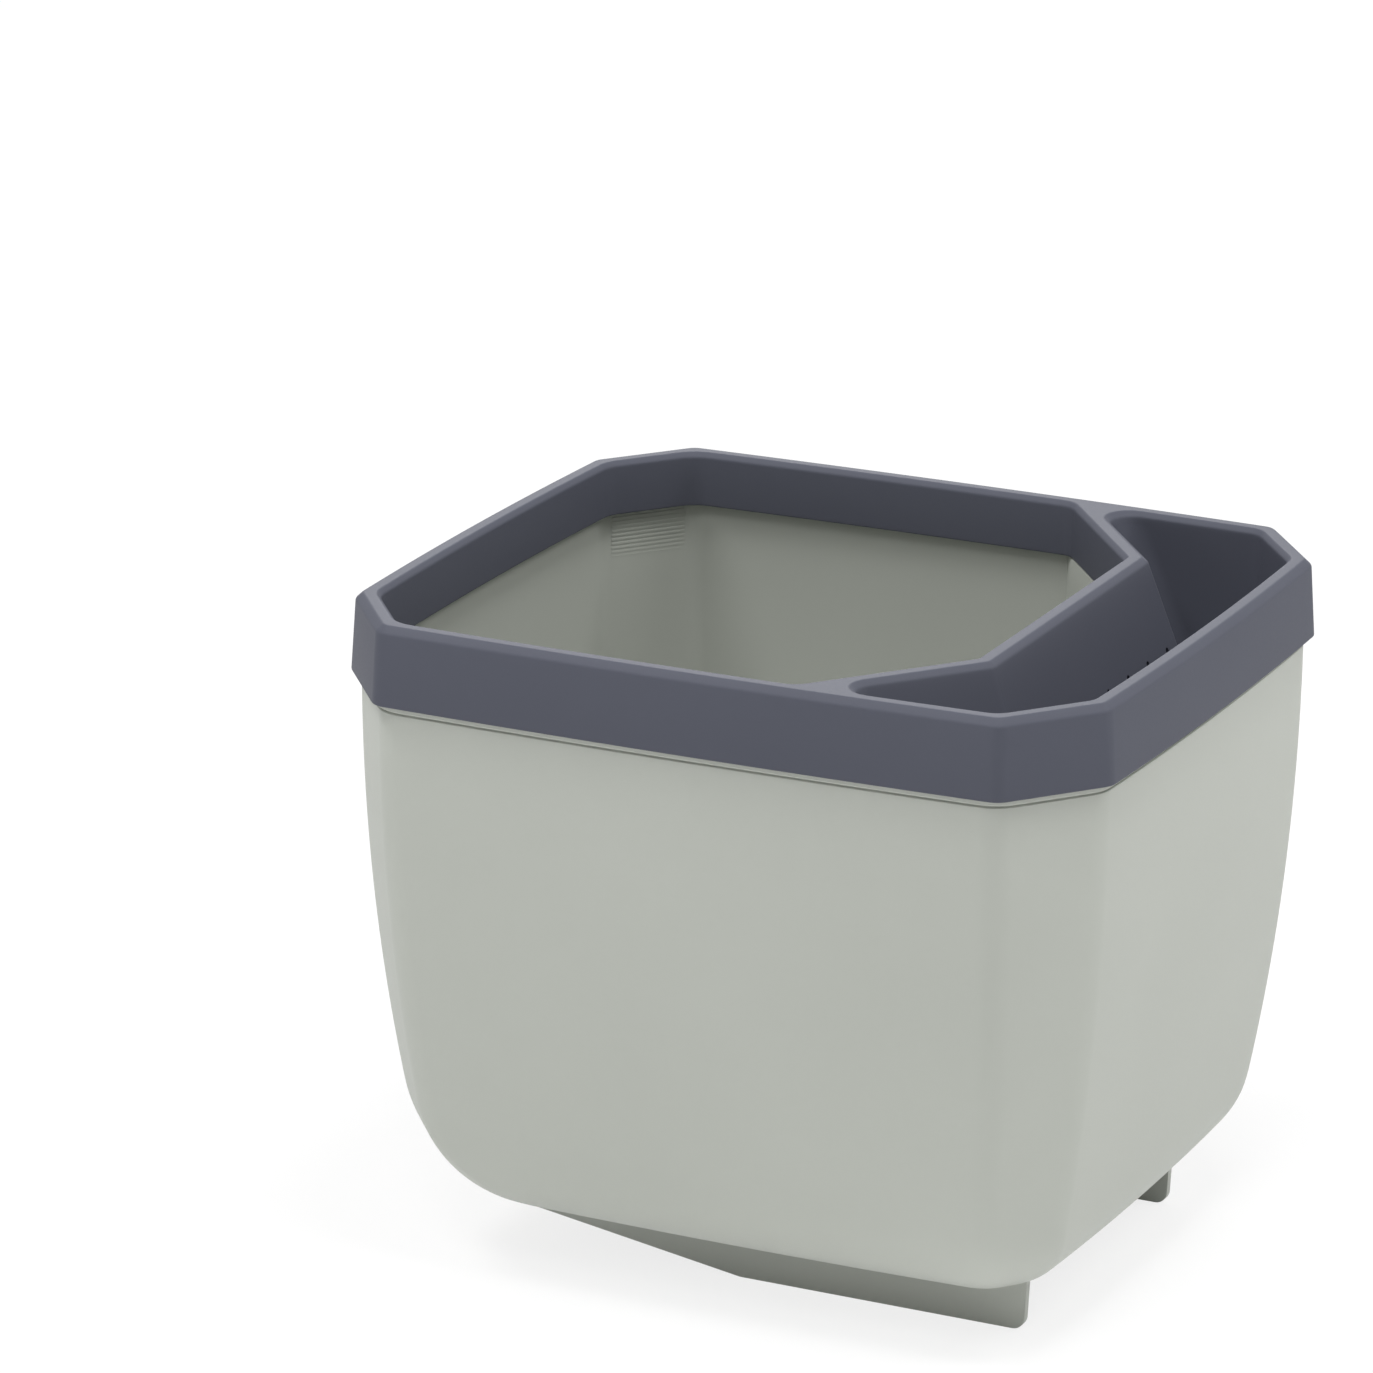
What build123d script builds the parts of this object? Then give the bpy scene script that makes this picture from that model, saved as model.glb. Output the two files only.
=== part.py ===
from build123d import *

import os
from math import atan2, cos, hypot, radians, sin, sqrt, tan

# Indoor herb planter in millimetres. Z = 0 is the ground under the feet and the
# origin is the centre of the planter's footprint. +X points to the watering
# side, -Y is the long front.

# Overall plan, measured round the top of the rim's outer band
rim_length = 200.0
rim_width = 176.7
corner_cut_x = 18.4
corner_cut_y = 23.0
side_bow = 1.4  # how far each straight side bulges outwards at its middle
height = 170.0  # ground to the top of the lip

# Rim frame: an inverted channel that slips over the tub's edge
band_height = 20.0
band_flare = 1.25  # the band leans outwards by this much towards its lower edge
band_wall = 1.6
lip_width = 5.8
lip_thickness = 3.0
lip_outer_bevel = 1.7
lip_inner_bevel = 1.2
rim_corner_radius = 3.5
opening_corner_radius = 3.5
skirt_depth = 14.2  # below the top of the lip
skirt_wall = 1.8
skirt_draft = 0.25

# Bridge between the plant opening and the watering hopper
hopper_span = 42.7  # from the bridge's plant side face to the rim's right end
bridge_bend_inset = 42.15  # from the rim's long sides to the bends in the bridge
bridge_width = 5.8
bridge_plant_corner_radius = 0.8
bridge_hopper_corner_radius = 2.5

# Tub
wall = 2.4
tub_inset = 1.0  # tub wall inside the line of the rim's upper edge
base_clearance = 12.5  # underside of the tub above the ground
belly = 14.0  # how far the walls draw in from top to base, before the rounding
left_belly = 16.3
belly_power = 2.1
side_base_round = 18.5
front_base_round = 23.3
left_base_round = 33.7
corner_base_round_share = 1.07  # of the mean of the two neighbouring roundings
tub_corner_radius = 10.0
least_corner_cut = 10.0
cut_round_share = 0.8  # the most of a corner cut's length that its two roundings take
collar_drop = 2.2  # the collar shows this much below the rim's band
groove_height = 0.6
groove_depth = 0.5
seat_gap = 0.3
slip_gap = 0.3  # between the collar and the band that slides over it
partition_wall = 2.4

# Watering hopper, hung under the lip beside the bridge
hopper_depth = 60.0  # below the top of the lip
hopper_wall = 1.6
hopper_slope_angle = 19.0  # the wall beside the bridge leans this far from upright
hopper_clearance = 0.6
slot_count = 8
slot_end_margin = 2.1  # from the bridge's bends to the middles of the outermost slots
slot_width = 1.6
slot_top_depth = 21.4
slot_foot_height = 5.0  # solid wall left between the slots' feet and the floor

# Feet: two thin runners, flat on the watering side, rising on the plant side
foot_side_inset = 42.35  # from the rim's long sides to the middle of each runner
foot_thickness = 2.2
foot_right_inset = 26.4  # from the rim's right end
foot_left_inset = 37.0
foot_kink_x = -3.0  # the planter rocks over this line when the water runs out
foot_rise_angle = 8.7
foot_corner_radius = 3.2
foot_kink_radius = 6.0
foot_end_draft = 3.0

# Wick port, seal, wick and mat
wick_width = 12.0
wick_thickness = 2.0
wick_slip = 0.2
wick_left_inset = 75.0  # from the rim's left end to the wick's end under the plant
wick_water_reach = 14.7  # from the bridge's plant side face to the wick's end in the water
wick_floor_clearance = 3.1  # between the tub's floor and the wick
seal_wall = 1.3
seal_flange = 1.2
seal_flange_thickness = 1.0
port_corner_share = 0.45
mat_thickness = 5.0
mat_margin = 1.5
mat_channel_gap = 0.5  # round the wick, so the mat lifts out past it

overrun = 5.0
cut_margin = 60.0

# Worked out from the sizes above
lip_under = height - lip_thickness
band_foot = height - band_height
skirt_foot = height - skirt_depth
bevel_foot = height - lip_inner_bevel
partition_top = skirt_foot - seat_gap
tub_top = lip_under - seat_gap
collar_foot = band_foot - collar_drop
groove_foot = collar_foot - groove_height
tub_floor = base_clearance + wall
half_length = rim_length / 2
half_width = rim_width / 2
bridge_x = half_length - hopper_span
bridge_bend_y = half_width - bridge_bend_inset
cut_length = hypot(corner_cut_x, corner_cut_y)
cut_nx = corner_cut_y / cut_length
cut_ny = corner_cut_x / cut_length
rim_cut_line = cut_nx * half_length + cut_ny * (half_width - corner_cut_y)
bridge_cut_line = cut_nx * bridge_x + cut_ny * bridge_bend_y
hopper_slope = tan(radians(hopper_slope_angle))
hopper_floor = height - hopper_depth
slot_pitch = 2 * (bridge_bend_y - slot_end_margin) / (slot_count - 1)
foot_right_end = half_length - foot_right_inset
foot_left_end = foot_left_inset - half_length
wick_left_end = wick_left_inset - half_length
wick_right_end = bridge_x + wick_water_reach
wick_height = tub_floor + wick_floor_clearance + wick_thickness / 2  # its middle above the ground
corner_turn_shares = tan(atan2(cut_ny, cut_nx) / 2) + tan(atan2(cut_nx, cut_ny) / 2)


def eight_sided_plan(z, right, left, side, right_cut, left_cut, corner_radius):
    """Bowed rectangle with cut corners, drawn in by the given amounts from the rim's line."""
    x_right = half_length - right
    x_left = half_length - left
    y_side = half_width - side
    corner_line_right = min(
        rim_cut_line - right_cut,
        cut_nx * x_right + cut_ny * y_side - least_corner_cut * cut_nx * cut_ny,
    )
    corner_line_left = min(
        rim_cut_line - left_cut,
        cut_nx * x_left + cut_ny * y_side - least_corner_cut * cut_nx * cut_ny,
    )
    y_right = (corner_line_right - cut_nx * x_right) / cut_ny
    y_left = (corner_line_left - cut_nx * x_left) / cut_ny
    x_side_right = (corner_line_right - cut_ny * y_side) / cut_nx
    x_side_left = (corner_line_left - cut_ny * y_side) / cut_nx
    x_middle = (x_side_right - x_side_left) / 2
    shortest_cut = min(
        hypot(x_right - x_side_right, y_side - y_right),
        hypot(x_left - x_side_left, y_side - y_left),
    )
    radius = min(corner_radius, cut_round_share * shortest_cut / corner_turn_shares)
    with BuildSketch(Plane.XY.offset(z)) as plan:
        with BuildLine():
            ThreePointArc((x_right, -y_right), (x_right + side_bow, 0), (x_right, y_right))
            Line((x_right, y_right), (x_side_right, y_side))
            ThreePointArc((x_side_right, y_side), (x_middle, y_side + side_bow), (-x_side_left, y_side))
            Line((-x_side_left, y_side), (-x_left, y_left))
            ThreePointArc((-x_left, y_left), (-x_left - side_bow, 0), (-x_left, -y_left))
            Line((-x_left, -y_left), (-x_side_left, -y_side))
            ThreePointArc((-x_side_left, -y_side), (x_middle, -y_side - side_bow), (x_side_right, -y_side))
            Line((x_side_right, -y_side), (x_right, -y_right))
        make_face()
        fillet(plan.vertices(), radius)
    return plan.sketch


def rim_plan(z, inset, corner_radius=rim_corner_radius):
    return eight_sided_plan(z, inset, inset, inset, inset, inset, corner_radius)


def bridge_side(z, shift, plant_side):
    """Everything on one side of the bridge's bent line, moved by shift towards the hopper."""
    line_x = bridge_x + shift
    corner_line = bridge_cut_line + shift
    y_bend = (corner_line - cut_nx * line_x) / cut_ny
    y_far = half_width + cut_margin
    x_far = (corner_line - cut_ny * y_far) / cut_nx
    x_edge = -half_length - cut_margin if plant_side else half_length + cut_margin
    with BuildSketch(Plane.XY.offset(z)) as region:
        with BuildLine():
            Polyline(
                (x_edge, -y_far),
                (x_far, -y_far),
                (line_x, -y_bend),
                (line_x, y_bend),
                (x_far, y_far),
                (x_edge, y_far),
                close=True,
            )
        make_face()
    return region.sketch


def round_bridge_corners(plan, line_x, outer_radius, bridge_radius):
    """Round the two corners on the bridge's straight stretch and the two at its ends."""
    on_bridge = plan.vertices().filter_by(lambda v: abs(v.X - line_x) < slip_gap)
    fillet(on_bridge, bridge_radius)
    bridge_ends = plan.vertices().filter_by(
        lambda v: abs(cut_nx * v.X + cut_ny * abs(v.Y) - cut_line_of(line_x)) < slip_gap
        and abs(v.Y) > half_width - lip_width - rim_corner_radius
    )
    fillet(bridge_ends, outer_radius)


def cut_line_of(line_x):
    return bridge_cut_line + line_x - bridge_x


def plant_opening_plan(z, outset):
    """Plant opening in the rim, grown outwards by outset."""
    with BuildSketch(Plane.XY.offset(z)) as plan:
        add(rim_plan(0, lip_width - outset))
        add(bridge_side(0, outset, plant_side=True), mode=Mode.INTERSECT)
        round_bridge_corners(
            plan, bridge_x + outset, opening_corner_radius, bridge_plant_corner_radius
        )
    return plan.sketch


def slope_shift(z):
    """How far the hopper's leaning wall stands from the bridge's face at a height."""
    return bridge_width + (bevel_foot - z) * hopper_slope


def hopper_outer_inset(z):
    """The hopper's outer walls follow the inside of the tub."""
    at_lip = lip_width - hopper_wall
    at_floor = inner_side_inset(hopper_floor) + hopper_clearance
    share = (lip_under - z) / (lip_under - hopper_floor)
    return at_lip + (at_floor - at_lip) * max(share, 0)


def hopper_plan(z, inset):
    """Hopper outline at a height, drawn in by inset from its outer faces."""
    lean = inset / cos(radians(hopper_slope_angle))
    shift = slope_shift(z) - (hopper_wall / cos(radians(hopper_slope_angle))) + lean
    with BuildSketch(Plane.XY.offset(z)) as plan:
        add(rim_plan(0, hopper_outer_inset(z) + inset, rim_corner_radius + hopper_wall - inset))
        add(bridge_side(0, shift, plant_side=False), mode=Mode.INTERSECT)
        round_bridge_corners(
            plan,
            bridge_x + shift,
            opening_corner_radius + hopper_wall - inset,
            bridge_hopper_corner_radius,
        )
    return plan.sketch


def belly_inset(z, depth):
    share = max((band_foot - z) / (band_foot - base_clearance), 0)
    return depth * share**belly_power


def round_inset(z, base, radius):
    rise = min(max((base + radius - z) / radius, 0), 1)
    return radius * (1 - sqrt(1 - rise**2))


def inner_side_inset(z):
    return tub_inset + wall + belly_inset(z, belly)


def tub_plan(z, inward):
    """Tub section at a height: its outer face, or the inner one a wall further in."""
    base = base_clearance + inward
    side_round = side_base_round - inward
    front_round = front_base_round - inward
    left_round = left_base_round - inward
    right_corner_round = corner_base_round_share * (side_round + front_round) / 2
    left_corner_round = corner_base_round_share * (left_round + front_round) / 2
    start = tub_inset + inward
    return eight_sided_plan(
        z,
        start + belly_inset(z, belly) + round_inset(z, base, side_round),
        start + belly_inset(z, left_belly) + round_inset(z, base, left_round),
        start + belly_inset(z, belly) + round_inset(z, base, front_round),
        start + belly_inset(z, belly) + round_inset(z, base, right_corner_round),
        start + belly_inset(z, left_belly) + round_inset(z, base, left_corner_round),
        tub_corner_radius - inward,
    )


# The tub's sections: a few down the wall, then close ones round the turn into the base
wall_step_shares = (0, 0.25, 0.5, 0.75)
base_turns = (0, 14, 28, 42, 54, 66, 78, 90)  # degrees round the widest base rounding


def tub_sections(top, inward):
    base = base_clearance + inward
    widest_round = left_base_round - inward
    round_start = base + widest_round
    heights = [top - share * (top - round_start) for share in wall_step_shares]
    heights += [base + widest_round * (1 - sin(radians(turn))) for turn in base_turns]
    return [tub_plan(z, inward) for z in heights]


# Room for the plant and room for the water, either side of the wall under the bridge
room_height = partition_top - base_clearance
with BuildPart() as tub_inside:
    loft(tub_sections(partition_top, wall), ruled=True)

with BuildPart() as plant_room:
    add(tub_inside.part)
    extrude(bridge_side(base_clearance, 0, plant_side=True), room_height, mode=Mode.INTERSECT)

with BuildPart() as water_room:
    add(tub_inside.part)
    extrude(
        bridge_side(base_clearance, partition_wall, plant_side=False), room_height, mode=Mode.INTERSECT
    )

# Tub: bellied shell with a groove and a collar under the rim
with BuildPart() as tub_blank:
    loft(tub_sections(groove_foot, 0), ruled=True)
    extrude(rim_plan(groove_foot, tub_inset + groove_depth, tub_corner_radius), groove_height)
    loft(
        [
            rim_plan(collar_foot, band_wall + slip_gap - band_flare),
            rim_plan(tub_top, band_wall + slip_gap),
        ],
        ruled=True,
    )

with BuildPart() as planter_tub:
    add(tub_blank.part)
    add(plant_room.part, mode=Mode.SUBTRACT)
    add(water_room.part, mode=Mode.SUBTRACT)
    extrude(
        rim_plan(partition_top, tub_inset + wall, tub_corner_radius - wall),
        tub_top - partition_top + overrun,
        mode=Mode.SUBTRACT,
    )
    port_width = wick_width + 2 * (wick_slip + seal_wall)
    port_height = wick_thickness + 2 * (wick_slip + seal_wall)
    with BuildSketch(Plane.YZ.offset(bridge_x - overrun)) as port:
        with Locations((0, wick_height)):
            RectangleRounded(port_width, port_height, port_height * port_corner_share)
    extrude(amount=partition_wall + 2 * overrun, mode=Mode.SUBTRACT)
planter_tub.part.label = "planter_tub"

# Rim frame: band, lip, skirt and bridge in one piece
with BuildPart() as rim_frame:
    loft([rim_plan(band_foot, -band_flare), rim_plan(height, 0)], ruled=True)
    channel_top_inset = band_wall
    channel_foot_inset = band_wall - band_flare
    loft(
        [rim_plan(band_foot, channel_foot_inset), rim_plan(lip_under, channel_top_inset)],
        ruled=True,
        mode=Mode.SUBTRACT,
    )
    # Skirt round the plant opening, thick where it becomes the bridge
    bridge_beam_shift = slope_shift(lip_under) - hopper_wall / cos(radians(hopper_slope_angle)) - seat_gap
    with BuildSketch(Plane.XY.offset(skirt_foot)) as skirt:
        add(rim_plan(0, lip_width - skirt_wall))
        add(bridge_side(0, bridge_beam_shift, plant_side=True), mode=Mode.INTERSECT)
    extrude(amount=lip_under - skirt_foot)
    loft(
        [plant_opening_plan(skirt_foot, -skirt_draft), plant_opening_plan(height, 0)],
        ruled=True,
        mode=Mode.SUBTRACT,
    )
    loft([hopper_plan(lip_under, hopper_wall), hopper_plan(height, hopper_wall)], ruled=True, mode=Mode.SUBTRACT)
    top_face = rim_frame.faces().sort_by(Axis.Z)[-1]
    chamfer(top_face.outer_wire().edges(), lip_outer_bevel)
    top_face = rim_frame.faces().sort_by(Axis.Z)[-1]
    for opening_edge in top_face.inner_wires():
        chamfer(opening_edge.edges(), lip_inner_bevel)
rim_frame.part.label = "rim_frame"

# Watering hopper: a leaning slotted wall beside the bridge, the rest follows the tub
with BuildPart() as watering_hopper:
    loft([hopper_plan(hopper_floor, 0), hopper_plan(lip_under, 0)], ruled=True)
    loft(
        [hopper_plan(hopper_floor + hopper_wall, hopper_wall), hopper_plan(lip_under, hopper_wall)],
        ruled=True,
        mode=Mode.SUBTRACT,
    )
    slot_foot = hopper_floor + hopper_wall + slot_foot_height
    slot_top = height - slot_top_depth
    slot_middle = (slot_foot + slot_top) / 2
    slot_reach = bridge_width + (bevel_foot - slot_foot) * hopper_slope
    with BuildSketch(Plane.YZ.offset(bridge_x)) as slots:
        with Locations((0, slot_middle)):
            with GridLocations(slot_pitch, 0, slot_count, 1):
                Rectangle(slot_width, slot_top - slot_foot)
    extrude(amount=slot_reach + hopper_wall, mode=Mode.SUBTRACT)
watering_hopper.part.label = "watering_hopper"

# Feet: each runner's top edge follows the underside of the tub
foot_rise = tan(radians(foot_rise_angle))
foot_top = base_clearance + left_base_round
foot_lean = foot_top * tan(radians(foot_end_draft))


def make_foot(y):
    with BuildPart() as foot:
        with BuildSketch(Plane.XZ.offset(-y - foot_thickness / 2)) as profile:
            with BuildLine():
                Polyline(
                    (foot_kink_x, 0),
                    (foot_right_end, 0),
                    (foot_right_end + foot_lean, foot_top),
                    (foot_left_end, foot_top),
                    (foot_left_end, (foot_kink_x - foot_left_end) * foot_rise),
                    close=True,
                )
            make_face()
            low = profile.vertices().filter_by(lambda v: v.Y < foot_top / 2)
            ends = [low.sort_by(Axis.X)[0], low.sort_by(Axis.X)[-1]]
            fillet(ends, foot_corner_radius)
            kink = profile.vertices().filter_by(lambda v: abs(v.X - foot_kink_x) < foot_thickness)
            fillet(kink, foot_kink_radius)
        extrude(amount=foot_thickness)
        add(tub_blank.part, mode=Mode.SUBTRACT)
    return foot


foot_y = half_width - foot_side_inset
front_foot = make_foot(-foot_y)
front_foot.part.label = "front_foot"
rear_foot = make_foot(foot_y)
rear_foot.part.label = "rear_foot"

# Soft seal in the partition's port, gripping the wick
with BuildPart() as wick_seal:
    seal_height = port_height + 2 * seal_flange
    with BuildSketch(Plane.YZ.offset(bridge_x)) as seal_body:
        with Locations((0, wick_height)):
            RectangleRounded(port_width, port_height, port_height * port_corner_share)
    extrude(amount=partition_wall)
    with BuildSketch(
        Plane.YZ.offset(bridge_x - seal_flange_thickness),
        Plane.YZ.offset(bridge_x + partition_wall),
    ) as seal_flanges:
        with Locations((0, wick_height)):
            RectangleRounded(port_width + 2 * seal_flange, seal_height, seal_height * port_corner_share)
    extrude(amount=seal_flange_thickness)
    with BuildSketch(Plane.YZ.offset(bridge_x - overrun)) as wick_hole:
        with Locations((0, wick_height)):
            Rectangle(wick_width + 2 * wick_slip, wick_thickness + 2 * wick_slip)
    extrude(amount=partition_wall + 2 * overrun, mode=Mode.SUBTRACT)
wick_seal.part.label = "wick_seal"

# Felt wick from the water room to the mat
with BuildPart() as wick:
    wick_length = wick_right_end - wick_left_end
    with BuildSketch(Plane.XY.offset(wick_height - wick_thickness / 2)) as wick_outline:
        with Locations(((wick_left_end + wick_right_end) / 2, 0)):
            RectangleRounded(wick_length, wick_width, wick_width * port_corner_share)
    extrude(amount=wick_thickness)
wick.part.label = "wick"

# Capillary mat on the floor of the plant room, under the nursery pot
with BuildPart() as capillary_mat:
    mat_base = tub_floor + seat_gap
    with BuildSketch(Plane.XY.offset(mat_base)) as mat_outline:
        add(tub_plan(tub_floor, wall))
        add(bridge_side(0, 0, plant_side=True), mode=Mode.INTERSECT)
        offset(amount=-mat_margin, kind=Kind.INTERSECTION)
        channel_start = wick_left_end - mat_channel_gap
        channel_length = bridge_x - channel_start
        with Locations((channel_start + channel_length / 2, 0)):
            Rectangle(channel_length, wick_width + 2 * mat_channel_gap, mode=Mode.SUBTRACT)
    extrude(amount=mat_thickness)
capillary_mat.part.label = "capillary_mat"

os.makedirs("parts", exist_ok=True)
for piece in (
    planter_tub,
    rim_frame,
    watering_hopper,
    front_foot,
    rear_foot,
    wick_seal,
    wick,
    capillary_mat,
):
    export_step(piece.part, f"parts/{piece.part.label}.step")
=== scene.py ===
from math import atan2, cos, hypot, pi, radians, sin, sqrt

import bmesh
import bpy
from mathutils import Matrix, Vector
from mathutils.geometry import tessellate_polygon


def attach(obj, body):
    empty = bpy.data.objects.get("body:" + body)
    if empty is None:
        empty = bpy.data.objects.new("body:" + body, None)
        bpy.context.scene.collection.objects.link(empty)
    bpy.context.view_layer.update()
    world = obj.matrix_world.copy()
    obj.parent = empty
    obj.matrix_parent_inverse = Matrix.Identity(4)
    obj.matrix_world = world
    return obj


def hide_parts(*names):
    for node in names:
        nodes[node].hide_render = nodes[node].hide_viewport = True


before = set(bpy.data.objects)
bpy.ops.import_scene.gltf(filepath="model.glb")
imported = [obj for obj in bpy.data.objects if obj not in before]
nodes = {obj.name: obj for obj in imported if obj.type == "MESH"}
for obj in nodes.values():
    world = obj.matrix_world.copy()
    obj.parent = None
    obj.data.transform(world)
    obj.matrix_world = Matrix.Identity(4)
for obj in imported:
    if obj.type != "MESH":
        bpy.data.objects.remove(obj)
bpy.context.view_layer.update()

mm = 0.001


# Small helpers

def linear(hexColour):  # sRGB hex to the linear value that a shader takes
    parts = [int(hexColour[i:i + 2], 16) / 255 for i in (1, 3, 5)]
    return tuple(p / 12.92 if p <= 0.04045 else ((p + 0.055) / 1.055) ** 2.4 for p in parts) + (1.0,)


def addNode(tree, kind, spot, values=None, feeds=None):  # a node with its settings and its links
    node = tree.nodes.new(kind)
    node.location = spot
    for name, value in (values or {}).items():
        if isinstance(name, int) or name in node.inputs:
            node.inputs[name].default_value = value
        else:
            setattr(node, name, value)
    for name, source in (feeds or {}).items():
        tree.links.new(source, node.inputs[name])
    return node


def newMaterial(name):
    material = bpy.data.materials.new(name)
    material.use_nodes = True
    material.node_tree.nodes.clear()
    return material, material.node_tree


def wear(piece, material):  # gives a piece one material
    piece.data.materials.clear()
    piece.data.materials.append(material)


def newPiece(name, points, faces):
    mesh = bpy.data.meshes.new(name)
    mesh.from_pydata(points, [], faces)
    mesh.update()
    piece = bpy.data.objects.new(name, mesh)
    bpy.context.scene.collection.objects.link(piece)
    return piece


def bake(piece):  # leaves a piece as one plain mesh, with its modifiers worked in
    shaped = piece.evaluated_get(bpy.context.evaluated_depsgraph_get())
    mesh = bpy.data.meshes.new_from_object(shaped)
    piece.modifiers.clear()
    piece.data = mesh


def shadeByAngle(piece, angle):  # smooth everywhere but over edges sharper than the angle
    mesh = bmesh.new()
    mesh.from_mesh(piece.data)
    for face in mesh.faces:
        face.smooth = True
    for edge in mesh.edges:
        edge.smooth = not (edge.is_manifold and edge.calc_face_angle(0) > angle)
    mesh.to_mesh(piece.data)
    mesh.free()


def cutAway(piece, cutters):  # boolean difference, worked in at once
    for cutter in cutters:
        step = piece.modifiers.new("cut", "BOOLEAN")
        step.object = cutter
        step.solver = "EXACT"
    bake(piece)
    for cutter in cutters:
        bpy.data.objects.remove(cutter)


def openGroup(name, inputs):  # a node group with named inputs, and each input's identifier
    tree = bpy.data.node_groups.new(name, "GeometryNodeTree")
    sockets = {}
    for label, kind in inputs.items():
        made = tree.interface.new_socket(label, in_out="INPUT", socket_type="NodeSocket" + kind)
        sockets[label] = made.identifier
    tree.interface.new_socket("Geometry", in_out="OUTPUT", socket_type="NodeSocketGeometry")
    return tree, sockets, addNode(tree, "NodeGroupInput", (-1200, 0)).outputs


def closeGroup(tree, given, instances, material):  # makes the instances real and keeps the mesh itself
    real = addNode(tree, "GeometryNodeRealizeInstances", (0, 0), None, {"Geometry": instances})
    joined = addNode(tree, "GeometryNodeJoinGeometry", (200, 0))
    tree.links.new(real.outputs[0], joined.inputs[0])
    tree.links.new(given["Geometry"], joined.inputs[0])
    worn = addNode(tree, "GeometryNodeSetMaterial", (400, 0), {"Material": material},
                   {"Geometry": joined.outputs[0]})
    addNode(tree, "NodeGroupOutput", (600, 0), None, {0: worn.outputs[0]})


def grow(piece, tree, sockets, values):  # runs a node group on a piece and works it in
    step = piece.modifiers.new("grown", "NODES")
    step.node_group = tree
    for label, value in values.items():
        step[sockets[label]] = value
    bake(piece)


# Materials

palePlastic = {
    "light": "#B0B3AC",
    "dark": "#ABAEA7",
    "cloudSize": 60 * mm,
    "grainSize": 0.7 * mm,  # blasted grain is usually finer, and is drawn this coarse so that it shows
    "roughness": 0.45,
    "roughnessSpread": 0.05,
    "gloss": 0.2,
    "grainHeight": 0.02 * mm,
}
slatePlastic = {
    "light": "#53555F",
    "dark": "#4F515B",
    "cloudSize": 50 * mm,
    "grainSize": 0.7 * mm,  # drawn coarse in the same way
    "roughness": 0.5,
    "roughnessSpread": 0.05,
    "gloss": 0.08,
    "grainHeight": 0.02 * mm,
}
blackRubber = {
    "light": "#2B2C2E",
    "dark": "#232426",
    "cloudSize": 8 * mm,
    "grainSize": 0.5 * mm,  # drawn coarse in the same way
    "roughness": 0.62,
    "roughnessSpread": 0.08,
    "gloss": 0.4,
    "grainHeight": 0.03 * mm,
}
mouldedSurface = {  # the same in every moulded material
    "cloudDetail": 2.0,
    "grainDetail": 3.0,
    "bumpStrength": 0.5,
    "refraction": 1.49,
}


def moulded(name, look):
    # Polypropylene or rubber moulded in a fine-blasted tool: an even satin with a faint cloudiness
    surface = mouldedSurface
    material, tree = newMaterial(name)
    spot = addNode(tree, "ShaderNodeTexCoord", (-1200, 0)).outputs["Object"]
    cloud = addNode(tree, "ShaderNodeTexNoise", (-900, 300),
                    {"Scale": 1 / look["cloudSize"], "Detail": surface["cloudDetail"]}, {"Vector": spot})
    colour = addNode(tree, "ShaderNodeMix", (-600, 300),
                     {"data_type": "RGBA", 6: linear(look["dark"]), 7: linear(look["light"])},
                     {0: cloud.outputs["Fac"]})
    grain = addNode(tree, "ShaderNodeTexNoise", (-900, -100),
                    {"Scale": 1 / look["grainSize"], "Detail": surface["grainDetail"]}, {"Vector": spot})
    rough = addNode(tree, "ShaderNodeMapRange", (-600, 0),
                    {"To Min": look["roughness"] - look["roughnessSpread"],
                     "To Max": look["roughness"] + look["roughnessSpread"]},
                    {"Value": grain.outputs["Fac"]})
    bump = addNode(tree, "ShaderNodeBump", (-600, -300),
                   {"Strength": surface["bumpStrength"], "Distance": look["grainHeight"]},
                   {"Height": grain.outputs["Fac"]})
    shader = addNode(tree, "ShaderNodeBsdfPrincipled", (-200, 100),
                     {"IOR": surface["refraction"], "Specular IOR Level": look["gloss"]},
                     {"Base Color": colour.outputs[2], "Roughness": rough.outputs["Result"],
                      "Normal": bump.outputs["Normal"]})
    addNode(tree, "ShaderNodeOutputMaterial", (100, 100), feeds={"Surface": shader.outputs["BSDF"]})
    return material


greyFelt = {
    "light": "#8F908C",
    "dark": "#5E605D",
    "flockSize": 1.6 * mm,
    "lumpSize": 9 * mm,
    "lumpHeight": 0.25 * mm,
    "roughness": 0.95,
    "sheen": 0.35,
}
paleFelt = {
    "light": "#DAD6CA",
    "dark": "#B9B4A6",
    "flockSize": 1.3 * mm,
    "lumpSize": 5 * mm,
    "lumpHeight": 0.15 * mm,
    "roughness": 0.92,
    "sheen": 0.3,
}
feltSurface = {  # the same in both felts
    "flockDetail": 6.0,
    "flockDistortion": 1.5,
    "lumpDetail": 4.0,
    "bumpStrength": 0.8,
    "sheenRoughness": 0.5,
    "gloss": 0.2,
}


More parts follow.
